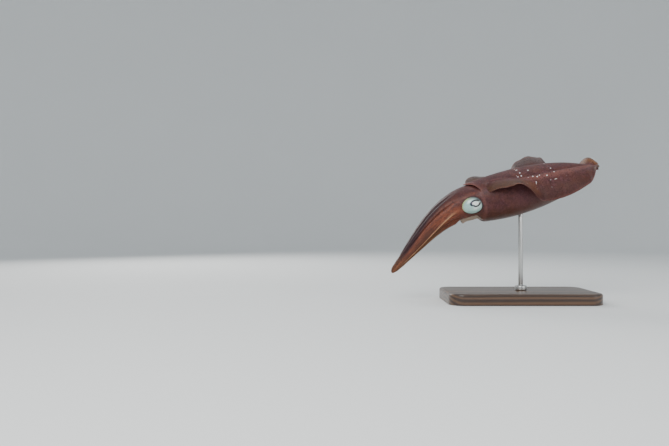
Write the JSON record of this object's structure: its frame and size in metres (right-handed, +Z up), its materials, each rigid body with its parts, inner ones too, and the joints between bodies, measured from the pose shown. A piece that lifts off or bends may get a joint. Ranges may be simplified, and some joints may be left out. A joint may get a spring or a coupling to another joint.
{
  "type": "reef squid model on a display stand",
  "caption": "Life-size Caribbean reef squid with rippling side fins and closed arms angled down, held over a flat wooden base by one short rod.",
  "frame": {"origin": "centre of the base's underside, on the floor below the middle of the stand", "axes": "+X from the arms towards the tail, +Y to the animal's right side, +Z up; the animal's left side faces -Y"},
  "size_m": [0.269, 0.113, 0.1905],
  "materials": {
    "skin": "wet mottled maroon-brown skin",
    "arm_skin": "wet russet skin with pale streaks",
    "funnel_skin": "pale translucent flesh",
    "eye": "silvery iris under a clear glossy cornea",
    "walnut": "satin varnish",
    "steel": "brushed"
  },
  "bodies": {
    "root": {"mantle": "skin", "fin_left": "skin", "fin_right": "skin", "head": "arm_skin", "eye_left": "eye", "eye_right": "eye", "funnel": "funnel_skin", "arm_left_1_base": "arm_skin", "arm_left_1_middle": "arm_skin", "arm_left_1_tip": "arm_skin", "arm_left_2_base": "arm_skin", "arm_left_2_middle": "arm_skin", "arm_left_2_tip": "arm_skin", "arm_left_3_base": "arm_skin", "arm_left_3_middle": "arm_skin", "arm_left_3_tip": "arm_skin", "arm_left_4_base": "arm_skin", "arm_left_4_middle": "arm_skin", "arm_left_4_tip": "arm_skin", "tentacle_left_base": "arm_skin", "tentacle_left_middle": "arm_skin", "tentacle_left_tip": "arm_skin", "arm_right_1_base": "arm_skin", "arm_right_1_middle": "arm_skin", "arm_right_1_tip": "arm_skin", "arm_right_2_base": "arm_skin", "arm_right_2_middle": "arm_skin", "arm_right_2_tip": "arm_skin", "arm_right_3_base": "arm_skin", "arm_right_3_middle": "arm_skin", "arm_right_3_tip": "arm_skin", "arm_right_4_base": "arm_skin", "arm_right_4_middle": "arm_skin", "arm_right_4_tip": "arm_skin", "tentacle_right_base": "arm_skin", "tentacle_right_middle": "arm_skin", "tentacle_right_tip": "arm_skin", "stand_base": "walnut", "stand_rod": "steel", "stand_ferrule": "steel"}
  },
  "joints": []
}
